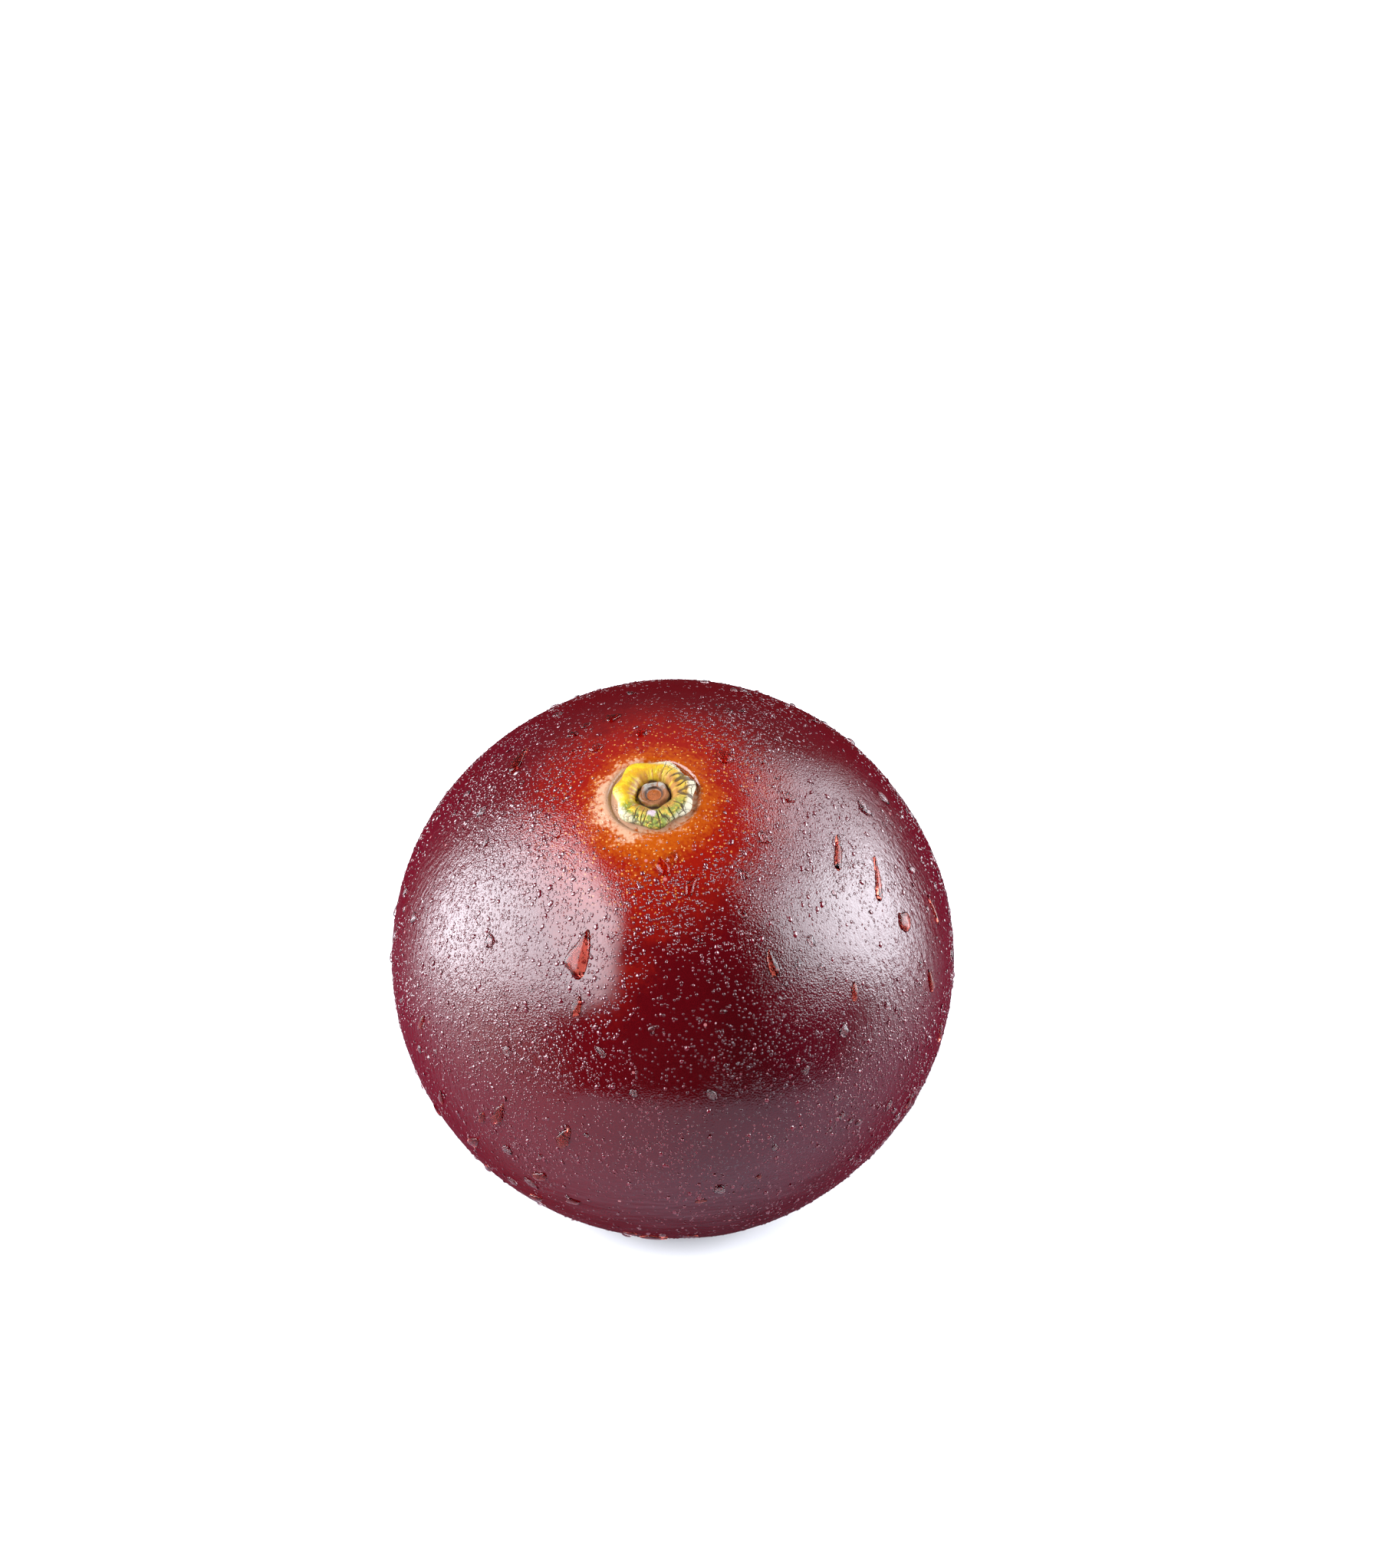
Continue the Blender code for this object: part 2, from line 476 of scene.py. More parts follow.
def draw_collar(ball):
    """Insets that lift the skin a little round the scar and then tuck it in under the scar."""
    def near_scar(middle):
        return middle.z > 0 and math.hypot(middle.x, middle.y) < COLLAR_START

    edit_faces(ball, near_scar)
    for thickness, rises in COLLAR_INSETS:
        bpy.ops.mesh.inset(thickness=thickness * MM, depth=rises * COLLAR_RISE)
    close_edit()


def swell(piece, size, height):
    clouds = bpy.data.textures.new("swells", "CLOUDS")
    clouds.noise_scale = size
    clouds.noise_depth = 1
    pick(piece)
    displace = piece.modifiers.new("swells", "DISPLACE")
    displace.texture = clouds
    displace.strength = height
    displace.mid_level = 0.5
    bpy.ops.object.modifier_apply(modifier=displace.name)


def flatten_under(piece):
    """Cuts the piece off where it rests and closes it with one flat face."""
    edit_faces(piece, lambda middle: True)
    bpy.ops.mesh.bisect(
        plane_co=(0, 0, 0),
        plane_no=(0, 0, 1),
        use_fill=True,
        clear_inner=True,
        threshold=CUT_CLEARANCE,
    )
    close_edit()


FILM_TOP = 6.5 * MM
FILM_FULL = 2.0 * MM
FILM_WAVE = Vector((1.3, 1.3, 0.5)) * MM
FILM_HEIGHT = 0.03 * MM


def film(at):
    """Waves in the film of water that gathers low down, longer across the slope than along it."""
    share = 1 - smooth(at.z, FILM_FULL, FILM_TOP)
    wave = Vector([c / length for c, length in zip(at, FILM_WAVE)])
    return noise.noise(wave) * share * FILM_HEIGHT


skin = add_ball()
draw_collar(skin)
subdivide_smoothly(skin, 2)
swell(skin, SWELL_SIZE, SWELL_HEIGHT)
stand_up(skin)
push_out(skin, film)
flatten_under(skin)
print("skin", len(skin.data.polygons), "faces")

# %% [markdown]
# ## The skin's finish
#
# Colour first. It depends on how far a point is from the stalk: cream and orange at the scar,
# then red, then wine and near black where the fruit ripened in the sun. A Mapping node turns
# world places back into the fruit's own frame, so that the distance is easy to take. The edges
# between the colours break up into specks, as ripening skin does.
#
# Then the gloss. The finest dew is a bump of rounded beads, thickest on the flanks. The run-off
# low down is a bump of long ripples, and on the sides one of fine runnels. A wet ball mirrors a
# bright window most strongly along its outline, where it would be lost against a white room, so
# the skin turns duller edge-on.

# %% Colours of the skin
CREAM = (0.36, 0.20, 0.12)
GOLD = (0.40, 0.18, 0.04)
ORANGE = (0.26, 0.048, 0.002)
SCARLET = (0.150, 0.004, 0.0015)
WINE = (0.052, 0.0005, 0.0016)
CRIMSON = (0.050, 0.0007, 0.0052)
MAROON = (0.018, 0.0004, 0.0010)
PALE_DOT = (0.34, 0.13, 0.13)
SKIN_IOR = 1.54
DULL_ROUGHNESS = 0.45


def skin_colour(finish, place):
    x, y, z = finish.split(place)
    side = x / RADIUS
    front = (y * -1 / RADIUS).clamp()
    radius = (x * x + y * y) ** 0.5
    from_stalk = radius / MM + (1 - z.steps(-0.5 * MM, 0.5 * MM)) * 20

    patches = finish.noise(place, 3.0 * MM, detail=3, distortion=0.6)
    mottle = finish.noise(place, 0.5 * MM, detail=3, roughness=0.7)
    grain = finish.noise(place, 0.10 * MM, detail=1)
    behind = (y / (radius + 0.01 * MM)).clamp()
    wander = side + (patches - 0.5) * 0.5 + (mottle - 0.5) * 0.15
    red_streak = (1 - ((wander + 0.12) / 0.24) ** 2).clamp() * front
    reach = from_stalk * (1 - red_streak * 0.35) - front * 0.25 + behind * 0.35
    reach = reach + (patches - 0.5) * 1.6 + (mottle - 0.5) * 0.9 + (grain - 0.5) * 0.9

    ripeness = patches * 0.6 - wander * front * 0.9 + (1 - front) * 0.3
    ripe = finish.mix(ripeness.steps(-0.10, 0.62), MAROON, WINE)
    flanks = wander.math("ABSOLUTE").steps(0.25, 1.05)
    under = 1 - finish.split(finish.here())[2].steps(2.0 * MM, 7.5 * MM)
    ripe = finish.mix((flanks + under * 0.5).clamp() * 0.85, ripe, CRIMSON)
    colour = finish.mix(reach.steps(1.9, 4.6), SCARLET, ripe)
    colour = finish.mix(reach.steps(1.2, 2.2), ORANGE, colour)
    gold = finish.beads(place, 0.10 * MM, 0.6, smallest=0.15).steps(0.1, 0.7)
    colour = finish.mix(gold * (1 - reach.steps(1.8, 3.6)) * 0.8, colour, GOLD)
    left = (x * -1 / (radius + 0.01 * MM)).clamp()
    colour = finish.mix((reach - left * 0.45).steps(0.9, 1.35), CREAM, colour)
    dots = finish.beads(place, 0.60 * MM, 0.35, smallest=0.05, spread=0.05).steps(0.1, 0.6)
    return finish.mix(dots * 0.6, colour, PALE_DOT)


# %% Finish the skin
RIPPLE_SIZE = 1.1 * MM
RUNNEL_SIZE = 0.35 * MM
STIPPLE_SIZE = 0.05 * MM
FINE_BEAD = 0.085 * MM
COARSE_BEAD = 0.14 * MM


def skin_finish():
    finish = Finish("ripe_skin")
    place = finish.in_fruit()
    thick = finish.noise(place, 2.5 * MM, detail=2, roughness=0.6)
    height = finish.split(finish.here())[2]
    film = 1 - height.steps(FILM_FULL, FILM_TOP)
    ripples = finish.noise(finish.stretched(finish.here(), 1.0, 1.0, 4.5), RIPPLE_SIZE, detail=2)
    uneven = finish.noise(place, 0.9 * MM, detail=1)
    side = finish.split(finish.here())[0] / RADIUS
    on_flanks = (side + 0.08).math("ABSOLUTE").steps(0.10, 0.45)
    misty = thick.steps(0.30, 0.70) * 0.45 + on_flanks * 0.35
    misty = misty - film * 0.5
    stipple = finish.noise(place, STIPPLE_SIZE, detail=1)
    fine = finish.beads(place, FINE_BEAD, misty)
    coarse = finish.beads(place, COARSE_BEAD, misty * 0.4)
    wet = finish.bump(uneven, 0.018 * MM)
    wet = finish.bump(ripples * film, 0.05 * MM, under=wet)
    runnels = finish.noise(finish.stretched(finish.here(), 2.4, 2.4, 0.7), RUNNEL_SIZE, detail=2)
    wet = finish.bump(runnels * side.math("ABSOLUTE").steps(0.45, 0.9), 0.05 * MM, under=wet)
    frost = finish.noise(place, 1.2 * MM, detail=3, roughness=0.7).steps(0.35, 0.70)
    wet = finish.bump(stipple * (misty * 1.6).clamp(), 0.013 * MM, under=wet)
    wet = finish.bump(fine, 0.016 * MM, under=wet)
    wet = finish.bump(coarse, 0.024 * MM, under=wet)
    colour = skin_colour(finish, place)
    finish.set(Base_Color=colour, Roughness=frost * 0.04 + 0.05, IOR=SKIN_IOR, Normal=wet)
    finish.dull_edge_on(colour, DULL_ROUGHNESS, wet)
    return finish.material


finish_piece(skin, "berry_skin", skin_finish())
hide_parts("berry")

# %% [markdown]
# ## The stalk scar
#
# Where the stalk broke off, the fruit closed the wound with a lumpy disc of cork: a ring with
# blunt lobes, a groove, and in the middle the plug that its sap came through. It is its own piece
# so that its finish can be fine. A filled circle is extruded and inset ring by ring, as on a
# lathe. The lobes are then pulled out, and the cork is weathered point by point: one side stays
# smooth and waxy, the other dries, wrinkles and cracks. How deep each point lies in a crack is
# kept as an attribute, which the finish reads to darken it.

# %% Rings drawn one inside the other
def add_rings(sides, radius, foot, walls, rings):
    """A disc at height foot, extruded up its walls and then inset to its middle.

    Each wall is (step up, widening) and each ring (step inwards, step up), in mm.
    """
    deselect_all()
    bpy.ops.mesh.primitive_circle_add(
        vertices=sides, radius=radius, fill_type="NGON", location=(0, 0, foot)
    )
    disc = bpy.context.object
    bpy.ops.object.transform_apply(location=True, rotation=True, scale=True)
    edit_faces(disc, lambda middle: True)
    for upwards, widening in walls:
        bpy.ops.mesh.extrude_region_move(TRANSFORM_OT_translate={"value": (0, 0, upwards * MM)})
        bpy.ops.transform.resize(value=(widening, widening, 1))
    for inwards, upwards in rings:
        bpy.ops.mesh.inset(thickness=inwards * MM, depth=upwards * MM)
    bpy.ops.mesh.select_all(action="SELECT")
    bpy.ops.mesh.normals_make_consistent(inside=False)
    close_edit()
    return disc


# %% Model the scar
SCAR_TOP = HALF_LENGTH * math.sqrt(1 - (SCAR_RADIUS / RADIUS) ** 2)
SCAR_SIDES = 60
SCAR_FOOT_SHARE = 0.90  # the foot's width under the skin, as a share of the scar's
SCAR_SINK = 0.25 * MM
SCAR_WALLS = ((0.25, 1.0), (0.05, 1.075), (0.07, 1.0))
SCAR_RINGS = (
    (0.045, 0.045),
    (0.10, 0.055),
    (0.12, 0.025),
    (0.12, -0.005),
    (0.10, -0.05),
    (0.09, -0.08),
    (0.05, -0.10),
    (0.03, -0.02),
    (0.025, 0.09),
    (0.04, 0.06),
    (0.05, 0.0),
    (0.035, -0.05),
    (0.03, 0.02),
    (0.04, -0.07),
    (0.05, -0.02),
    (0.07, 0.02),
)
LOBES = 7
LOBE_DEPTH = 0.07 * MM
LOBE_TURN = math.radians(25)
LOBE_SWING = 0.45
PLUG_CORNERS = 5
PLUG_CORNER_DEPTH = 0.035 * MM


def lobe_offset(bearing):
    wave = LOBES * (bearing - LOBE_TURN) + LOBE_SWING * math.sin(2 * bearing)
    return LOBE_DEPTH * (math.cos(wave) + 0.5 * math.sin(3 * bearing + 1.0))


def pull_lobes(scar):
    for vert in scar.data.vertices:
        radius = math.hypot(vert.co.x, vert.co.y)
        if radius < 0.001 * MM:
            continue
        bearing = math.atan2(vert.co.y, vert.co.x)
        share = min(1.0, max(0.0, (radius - PLUG_RADIUS) / (SCAR_RADIUS - PLUG_RADIUS)))
        offset = lobe_offset(bearing) * share
        corners = math.cos(PLUG_CORNERS * bearing + 0.6) + 0.4 * math.sin(2 * bearing)
        near_plug = 1 - smooth(abs(radius - PLUG_RADIUS), 0.05 * MM, 0.2 * MM)
        offset += PLUG_CORNER_DEPTH * corners * near_plug
        vert.co.x *= 1 + offset / radius
        vert.co.y *= 1 + offset / radius


# %% Weather the scar
WAX_BEARING = math.radians(155)
SLOPE_RADIUS = 0.62 * MM
RIM_RADIUS = 0.88 * MM
CRAZE_SIZE = 0.17 * MM


def crack_depth(at, radius, bearing, dryness):
    """How deep a point lies in a crack, 0 to 1: rays between plug and rim, crazing on the rim."""
    ray_place = Vector((math.cos(bearing) * 4.5, math.sin(bearing) * 4.5, radius / (0.9 * MM)))
    ray = 1 - smooth(abs(noise.noise(ray_place)), 0.0, 0.13)
    ray *= smooth(radius, SLOPE_RADIUS * 0.9, SLOPE_RADIUS * 1.15)
    distances, _ = noise.voronoi(at / CRAZE_SIZE)
    craze = 1 - smooth(distances[1] - distances[0], 0.02, 0.16)
    craze *= smooth(radius, RIM_RADIUS * 0.9, RIM_RADIUS)
    return max(ray, craze * 0.7) * dryness


def weather(scar):
    """Lumps all over, and cracks, wrinkles and crumbs where the cork has dried."""
    cracks = []
    for vert in scar.data.vertices:
        at = vert.co.copy()
        radius = math.hypot(at.x, at.y)
        bearing = math.atan2(at.y, at.x)
        dryness = smooth(0.5 - 0.5 * math.cos(bearing - WAX_BEARING), 0.10, 0.55)
        outside = smooth(radius, PLUG_RADIUS, SLOPE_RADIUS)
        crack = crack_depth(at, radius, bearing, dryness)
        cracks.append(crack)
        lump = noise.fractal(at / (0.35 * MM), 0.8, 2.0, 3) * (0.5 + 0.5 * dryness)
        crumbs = noise.fractal(at / (0.08 * MM), 0.7, 2.0, 2) * (0.25 + dryness * outside)
        if at.z > SCAR_TOP:
            vert.co.z += (0.030 * lump + 0.012 * crumbs - 0.045 * crack) * MM
        if radius > RIM_RADIUS:
            push = noise.noise(at / (0.14 * MM)) * 0.025 + noise.noise(at / (0.05 * MM)) * 0.01
            vert.co.x *= 1 + push * (0.4 + 0.6 * dryness)
            vert.co.y *= 1 + push * (0.4 + 0.6 * dryness)
    scar.data.attributes.new("crack", "FLOAT", "POINT").data.foreach_set("value", cracks)


scar = add_rings(
    SCAR_SIDES, SCAR_RADIUS * SCAR_FOOT_SHARE, SCAR_TOP - SCAR_SINK, SCAR_WALLS, SCAR_RINGS
)
pull_lobes(scar)
subdivide_smoothly(scar, 3)
weather(scar)
stand_up(scar)
print("scar", round(2 * SCAR_RADIUS / MM, 2), "mm across")

# %% Finish the scar
WAX_YELLOW = (0.36, 0.28, 0.008)
WAX_AMBER = (0.34, 0.165, 0.008)
SLOPE_AMBER = (0.22, 0.085, 0.012)
STRAW = (0.34, 0.26, 0.05)
CHALK = (0.38, 0.34, 0.25)
MOSS = (0.085, 0.135, 0.020)
# painted highlight: the pale lilac glint of a water drop below the plug
LILAC_GLINT = (0.34, 0.26, 0.28)
# dark cork, also used as painted shade in the groove, the pit's rim and the cracks
BARK_AND_SHADE = (0.035, 0.014, 0.007)
PLUG_BROWN = (0.16, 0.055, 0.015)
# painted reflection: the grey glint on one side of the plug's top
PLUG_GLINT_GREY = (0.22, 0.20, 0.17)
PIT_RUST = (0.24, 0.060, 0.010)
DULL_CORK = 0.3  # its specular level, where 0.5 is usual


def scar_finish():
    finish = Finish("scar_cork")
    place = finish.in_fruit()
    x, y, _ = finish.split(place)
    radius = (x * x + y * y) ** 0.5 / MM

    def towards(degrees):
        """1 on this bearing from the middle, -1 on the far side."""
        turn = math.radians(degrees)
        return (x * math.cos(turn) + y * math.sin(turn)) / (radius * MM)

    mottle = finish.noise(place, 0.28 * MM, detail=4, roughness=0.65)
    blotch = finish.noise(place, 0.16 * MM, detail=3, roughness=0.6, distortion=0.8)
    grain = finish.noise(place, 0.04 * MM, detail=2)
    ray_place = finish.add(
        "ShaderNodeCombineXYZ", None, {0: towards(0) * 9, 1: towards(90) * 9, 2: radius * 1.2}
    )
    rays = finish.noise(ray_place, 1.0, detail=2)
    edge = radius + (mottle - 0.5) * 0.25

    colour = finish.mix(mottle.steps(0.38, 0.66), WAX_YELLOW, WAX_AMBER)
    dry = (towards(-25) + (mottle - 0.5) * 1.2).steps(-0.35, 0.15)
    colour = finish.mix(dry * 0.6, colour, finish.mix(blotch.steps(0.35, 0.65), STRAW, WAX_AMBER))
    moss = (towards(-80) + (mottle - 0.5) * 0.8).steps(0.10, 0.60) * blotch.steps(0.40, 0.52)
    colour = finish.mix(moss * 0.85, colour, MOSS)
    rim = edge.steps(0.90, 1.04)
    colour = finish.mix(rim * towards(22).steps(-0.05, 0.55) * 0.95, colour, CHALK)
    colour = finish.mix(rim * towards(-135).steps(0.75, 0.95) * 0.6, colour, CHALK)
    slope = (1 - edge.steps(0.62, 0.84)) * rays.steps(0.30, 0.62)
    colour = finish.mix(slope * 0.9, colour, SLOPE_AMBER)
    # A painted highlight: a pale lilac spot below the plug, where a drop of water catches a
    # window.
    glint_spot = ((x / MM - 0.06) ** 2 + (y / MM + 0.72) ** 2) ** 0.5 + (blotch - 0.5) * 0.2
    colour = finish.mix(1 - glint_spot.steps(0.07, 0.17), colour, LILAC_GLINT)
    # The cracks are darker the deeper they lie: dark cork, and painted shade.
    crack = finish.add("ShaderNodeAttribute", {"attribute_name": "crack"}, output="Fac")
    colour = finish.mix(crack.steps(0.15, 0.9) * 0.85, colour, BARK_AND_SHADE)

    # The groove round the plug and the rim of its pit are painted dark: dark cork, and painted
    # shade in these hollows.
    groove = radius + (mottle - 0.5) * 0.08
    colour = finish.mix(groove.between(0.41, 0.47, 0.03), colour, BARK_AND_SHADE)
    # A painted reflection: the plug's top turns grey in blotches on one side, as a window's glint
    # on it would.
    grey = blotch.steps(0.40, 0.60) * towards(100).steps(0.0, 0.8)
    plug = finish.mix(grey, PLUG_BROWN, PLUG_GLINT_GREY)
    plug = finish.mix(groove.between(0.20, 0.25, 0.02), plug, BARK_AND_SHADE)
    plug = finish.mix(groove.steps(0.17, 0.21), PIT_RUST, plug)
    colour = finish.mix(groove.steps(0.38, 0.42), plug, colour)

    relief = finish.bump(grain, 0.006 * MM)
    relief = finish.bump(rays, 0.020 * MM, under=relief)
    finish.set(Base_Color=colour, Roughness=dry * 0.35 + 0.36, Normal=relief)
    finish.set(Specular_IOR_Level=DULL_CORK)
    return finish.material


finish_piece(scar, "stalk_scar", scar_finish())

# %% [markdown]
# ## The dried tip
#
# At the far end of the fruit, the flower's style dried off and left a small brown nub. It hides
# underneath and behind, but the part is looked at from all sides. It is drawn in rings as the
# scar is, and turned over to point down the fruit's own axis.

# %% Model and finish the tip
TIP_SIDES = 24
TIP_RADIUS = 0.35 * MM
TIP_SINK = 0.10 * MM
TIP_WALLS = ((0.12, 1.0), (0.03, 1.06))
TIP_RINGS = ((0.05, 0.02), (0.08, 0.015), (0.07, -0.01), (0.05, -0.03), (0.04, 0.01))
TIP_BROWN = (0.060, 0.022, 0.010)
TIP_BLACK = (0.010, 0.004, 0.003)


def turn_over(piece):
    edit_faces(piece, lambda middle: True)
    bpy.ops.transform.rotate(
        value=math.pi, orient_axis="X", orient_type="GLOBAL", center_override=(0, 0, 0)
    )
    close_edit()


def shrivel(at):
    return noise.fractal(at / (0.12 * MM), 0.7, 2.0, 3) * 0.015 * MM


def tip_finish():
    finish = Finish("dried_tip")
    spots = finish.noise(finish.here(), 0.10 * MM, detail=3, roughness=0.7)
    colour = finish.mix(spots.steps(0.40, 0.62), TIP_BROWN, TIP_BLACK)
    relief = finish.bump(spots, 0.02 * MM)
    finish.set(Base_Color=colour, Roughness=spots * 0.3 + 0.5, Normal=relief)
    return finish.material


tip = add_rings(TIP_SIDES, TIP_RADIUS, HALF_LENGTH - TIP_SINK, TIP_WALLS, TIP_RINGS)
subdivide_smoothly(tip, 2)
push_out(tip, shrivel)
turn_over(tip)
stand_up(tip)
finish_piece(tip, "dried_tip", tip_finish())

# %% [markdown]
# ## Dew
#
# Water sits on the fruit in every size, from a mist too fine to count to drops that have begun to
# run. A drop is the cap of a ball with a closed foot. About two hundred uneven drops are modelled
# as such, and the mist repeats one cap with a few faces many thousands of times. Each gets a
# seat: a place on the skin, found by a ray from outside, and three sides to lie along. The beads
# of mist lean over a little, each its own way, so that some catch a window and others stay dark.

# %% Shapes of drops
def cap(sides, rings, cut):
    """The cap of a ball, as (points, faces): about 1 wide, its foot closed and a little sunk."""
    deselect_all()
    bpy.ops.mesh.primitive_uv_sphere_add(segments=sides, ring_count=rings, radius=0.5)
    drop = bpy.context.object
    edit_faces(drop, lambda middle: True)
    bpy.ops.mesh.bisect(plane_co=(0, 0, cut), plane_no=(0, 0, 1), use_fill=True, clear_inner=True)
    bpy.ops.transform.translate(value=(0, 0, -cut - 0.04))
    close_edit()
    points = np.array([v.co for v in drop.data.vertices])
    faces = [tuple(face.vertices) for face in drop.data.polygons]
    bpy.data.objects.remove(drop)
    return points, faces


def uneven_drop(shape, random, unevenness, taper):
    """The same drop with a wandering outline, heavier at its lower end and drawn out above."""
    points, faces = shape
    points = points.copy()
    bearing = np.arctan2(points[:, 1], points[:, 0])
    outline = np.ones(len(points))
    for waves in (2, 3, 4, 5):
        swing, start = random.uniform(-1, 1), random.uniform(0, 2 * math.pi)
        outline += unevenness * swing / waves * np.cos(waves * bearing + start)
    points[:, 0] *= outline * (1 + taper * points[:, 1])
    points[:, 1] *= outline
    points[:, 2] *= 1 + 0.6 * points[:, 1]
    return points, faces


# %% Seats on the skin
def skin_tree():
    graph = bpy.context.evaluated_depsgraph_get()
    return BVHTree.FromObject(skin, graph)


def seat_on_skin(tree, direction):
    """(place, outward normal) on the skin in this direction from the fruit's middle."""
    place, normal, _, _ = tree.ray_cast(MIDDLE + direction * 2 * RADIUS, -direction)
    return place, normal


def sides_of(normal, tilt, width, length, height):
    """The drop's own X, Y and Z in the world: across the slope, down it, and outwards."""
    down = Vector((0, 0, -1)) + normal * normal.z
    if down.length < 0.1:
        down = normal.orthogonal()
    down.normalize()
    down = Matrix.Rotation(tilt, 3, normal) @ down
    across = down.cross(normal)
    return [[across[i] * width, down[i] * length, normal[i] * height] for i in range(3)]


def scatter(name, shapes, seats):
    """One mesh with a shape in each seat: (place, three sides as a matrix)."""
    all_points = []
    all_faces = []
    count = 0
    for index, (place, sides) in enumerate(seats):
        points, faces = shapes[index % len(shapes)]
        all_points.append(points @ np.array(sides).T + np.array(place))
        all_faces += [tuple(corner + count for corner in face) for face in faces]
        count += len(points)
    mesh = bpy.data.meshes.new(name)
    mesh.from_pydata(np.concatenate(all_points), [], all_faces)
    piece = bpy.data.objects.new(name, mesh)
    bpy.context.scene.collection.objects.link(piece)
    return piece


# %% Where the dew lies
CLEAR_OF_SCAR = 0.20  # radians from the stalk axis
CLEAR_OF_TIP = 0.07  # radians from the far end of that axis
HALO_REACH = 0.25  # radians from the stalk axis, where the mist begins to thicken
CLEAR_OF_FLOOR = 0.4 * MM
DRY_PATCH = Vector((0.60, -0.62, 0.50)).normalized()
DARK_MIDDLE = Vector((0.20, -0.93, 0.24)).normalized()
MISTY_SIDE = Vector((-0.45, -0.69, 0.57)).normalized()


def random_direction(random):
    z = random.uniform(-1, 1)
    turn = random.uniform(0, 2 * math.pi)
    flat = math.sqrt(1 - z * z)
    return Vector((flat * math.cos(turn), flat * math.sin(turn), z))


def thickness_of_dew(direction, height):
    """How thickly the dew lies, 0 to 1: in drifts, and thin where it has run off."""
    drift = 0.40 + 0.9 * noise.fractal(direction * 2.3 + Vector((3, 1, 7)), 1.0, 2.0, 3)
    drift -= 0.6 * (1 - smooth(direction.angle(DRY_PATCH), 0.15, 0.45))
    drift -= 0.45 * (1 - smooth(direction.angle(DARK_MIDDLE), 0.20, 0.55))
    drift += 0.4 * (1 - smooth(direction.angle(MISTY_SIDE), 0.25, 0.60))
    drift *= smooth(direction.angle(STALK_AXIS), HALO_REACH, HALO_REACH + 0.15)
    drift *= 0.25 + 0.75 * smooth(height, 2.5 * MM, 6.5 * MM)
    drift *= 1 - 0.6 * smooth(direction.y, -0.2, 0.3)
    return min(1.0, max(0.06, drift))


def leaning(normal, random, most):
    """The normal, leaned over by up to this angle, any way."""
    lean = Matrix.Rotation(random.uniform(0, most), 3, normal.orthogonal())
    return Matrix.Rotation(random.uniform(0, 2 * math.pi), 3, normal) @ lean @ normal


def dew_seats(tree, random, count, smallest, largest, flatness, lean=0.0, even=False):
    seats = []
    while len(seats) < count:
        direction = random_direction(random)
        place, normal = seat_on_skin(tree, direction)
        if place is None or place.z < CLEAR_OF_FLOOR:
            continue
        from_stalk = direction.angle(STALK_AXIS)
        if from_stalk < CLEAR_OF_SCAR or from_stalk > math.pi - CLEAR_OF_TIP:
            continue
        if not even and random.uniform() > thickness_of_dew(direction, place.z):
            continue
        width = smallest * (largest / smallest) ** (random.uniform() ** 1.5)
        stretch = random.uniform(1.0, 1.6)
        tilt = random.uniform(-0.6, 0.6)
        normal = leaning(normal, random, lean)
        sides = sides_of(normal, tilt, width, width * stretch, width * flatness)
        seats.append((place, sides))
    return seats


# %% Water
# The drops' faint pink and the runs' red are tints in the water: partly the red skin seen under a
# drop, partly painted light that the drop focuses onto that skin.
WATER_LIT_PINK = (1.0, 0.80, 0.80)
WATER_LIT_RED = (1.0, 0.22, 0.15)
WATER_IOR = 1.33
BEAD_RED = (0.070, 0.0015, 0.005)
BEAD_IOR = 1.8
DEW_SEED = 7


def water_finish(name, colour):
    finish = Finish(name)
    finish.set(Base_Color=colour, Roughness=0.0, IOR=WATER_IOR, Transmission_Weight=1.0)
    return finish.material


def bead_finish():
    """A bead of mist is too small to see through: it shows the skin's red and a bright glint."""
    finish = Finish("misted_skin")
    finish.set(Base_Color=BEAD_RED, Roughness=0.05, IOR=BEAD_IOR)
    return finish.material


# The tinted waters: partly the skin's red seen through, partly painted light focused by the drops.
water = water_finish("water", WATER_LIT_PINK)
lit_red_water = water_finish("water_lit_red", WATER_LIT_RED)
misted_skin = bead_finish()
tree = skin_tree()
chance = np.random.RandomState(DEW_SEED)


def add_dew(name, shapes, seats, finish):
    dew = scatter(name, shapes, seats)
    finish_piece(dew, name, finish)


# %% Lay the mist
# Each is (name, count, smallest width, largest width), with the widths in mm.
MIST = (
    ("mist_fine", 6900, 0.040, 0.065),
    ("mist_middle", 6900, 0.045, 0.090),
    ("mist_spread", 6900, 0.040, 0.075),
    ("mist_coarse", 1600, 0.080, 0.160),
)
MIST_FLATNESS = 0.45
MIST_LEAN = 0.55
mist_cap = cap(sides=5, rings=4, cut=-0.12)
for name, count, smallest, largest in MIST:
    seats = dew_seats(
        tree, chance, count, smallest * MM, largest * MM, MIST_FLATNESS, lean=MIST_LEAN
    )
    add_dew(name, [mist_cap], seats, misted_skin)

# %% Lay the drops
DROP_SHAPES = 12
DROP_COUNT = 190
DROP_SMALLEST = 0.14 * MM
DROP_LARGEST = 0.36 * MM
DROP_FLATNESS = 0.5
drop_cap = cap(sides=12, rings=8, cut=0.15)
drop_shapes = [
    uneven_drop(drop_cap, chance, unevenness=0.45, taper=chance.uniform(0, 0.9))
    for _ in range(DROP_SHAPES)
]
drop_seats = dew_seats(
    tree, chance, DROP_COUNT, DROP_SMALLEST, DROP_LARGEST, DROP_FLATNESS, even=True
)
add_dew("drops", drop_shapes, drop_seats, water)

# %% [markdown]
# The largest drops have run together and begun to slide. They are placed one by one. Each row
# below says how far round the fruit a drop lies, in degrees from the front to the right, how high
# in degrees, its width and length in mm, and its tilt in degrees.

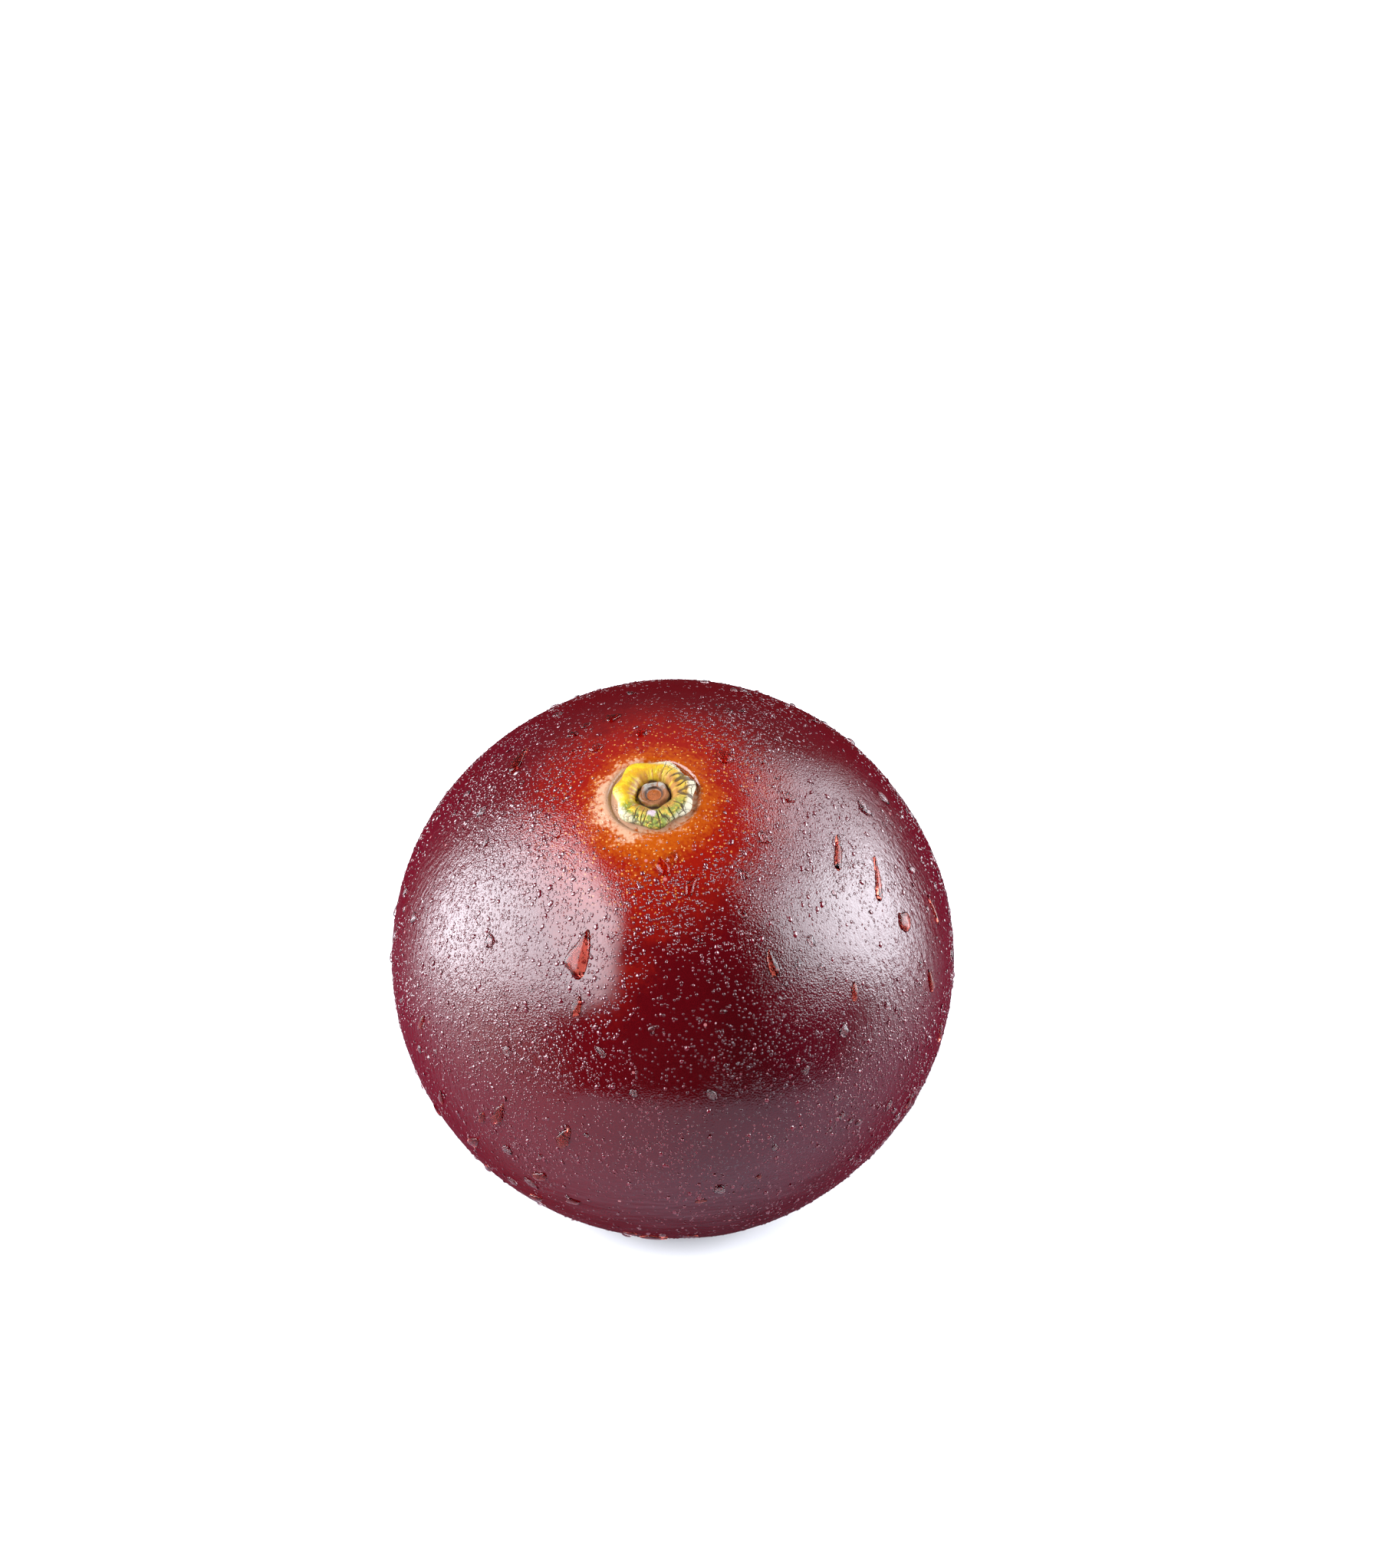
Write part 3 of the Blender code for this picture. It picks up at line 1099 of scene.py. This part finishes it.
# %% Place the runs
RUNS = (
    (-21, 29, 0.60, 1.35, -10),
    (-20, 19, 0.26, 0.70, -8),
    (-82, 57, 0.40, 0.95, 50),
    (60, 24, 0.52, 0.60, 15),
    (51, 43, 0.24, 1.20, -40),
    (58, 34, 0.22, 1.30, -36),
    (22, 27, 0.30, 0.80, 8),
    (5, 44, 0.24, 0.62, -30),
    (35, 72, 0.45, 0.55, 0),
    (-86, 78, 0.34, 0.50, 10),
    (-38, 80, 0.30, 0.45, -20),
    (-3, 48, 0.36, 0.50, 20),
    (64, 9, 0.26, 0.80, 5),
    (40, 17, 0.24, 0.55, -15),
    (-37, -9, 0.34, 0.90, -25),
    (-22, -10, 0.36, 0.85, -35),
    (-60, 2, 0.22, 0.70, -20),
    (-48, -22, 0.30, 0.80, -40),
    (-30, -24, 0.34, 0.60, -50),
    (-42, -12, 0.22, 0.60, -30),
    (-56, -14, 0.20, 0.75, -20),
    (-24, -31, 0.50, 0.34, 20),
    (-52, -34, 0.24, 0.70, -40),
    (-66, -24, 0.18, 0.80, -25),
    (-36, -36, 0.30, 0.55, -60),
    (6, -26, 0.34, 0.24, 10),
    (18, -20, 0.22, 0.20, 0),
    (70, -6, 0.18, 0.80, 12),
    (60, -18, 0.20, 0.60, 25),
    (74, 20, 0.18, 0.90, 5),
    (130, 30, 0.40, 1.00, 10),
    (175, 12, 0.45, 1.20, -12),
    (-150, 35, 0.36, 0.90, 20),
    (-120, 5, 0.40, 1.10, 0),
    (-6, -49, 0.75, 0.40, 0),
    (-13, -47, 0.40, 0.30, 0),
    (5, -48, 0.45, 0.30, 0),
)
RUN_HEIGHT = 0.55


def run_seat(turn, rise, width, length, tilt):
    turn, rise = math.radians(turn), math.radians(rise)
    flat = math.cos(rise)
    direction = Vector((flat * math.sin(turn), -flat * math.cos(turn), math.sin(rise)))
    place, normal = seat_on_skin(tree, direction)
    height = RUN_HEIGHT * min(width, 0.6 * length)
    return place, sides_of(normal, math.radians(tilt), width * MM, length * MM, height * MM)


run_cap = cap(sides=24, rings=14, cut=0.12)
run_shapes = [uneven_drop(run_cap, chance, unevenness=0.35, taper=0.9) for _ in RUNS]
add_dew("runs", run_shapes, [run_seat(*run) for run in RUNS], lit_red_water)
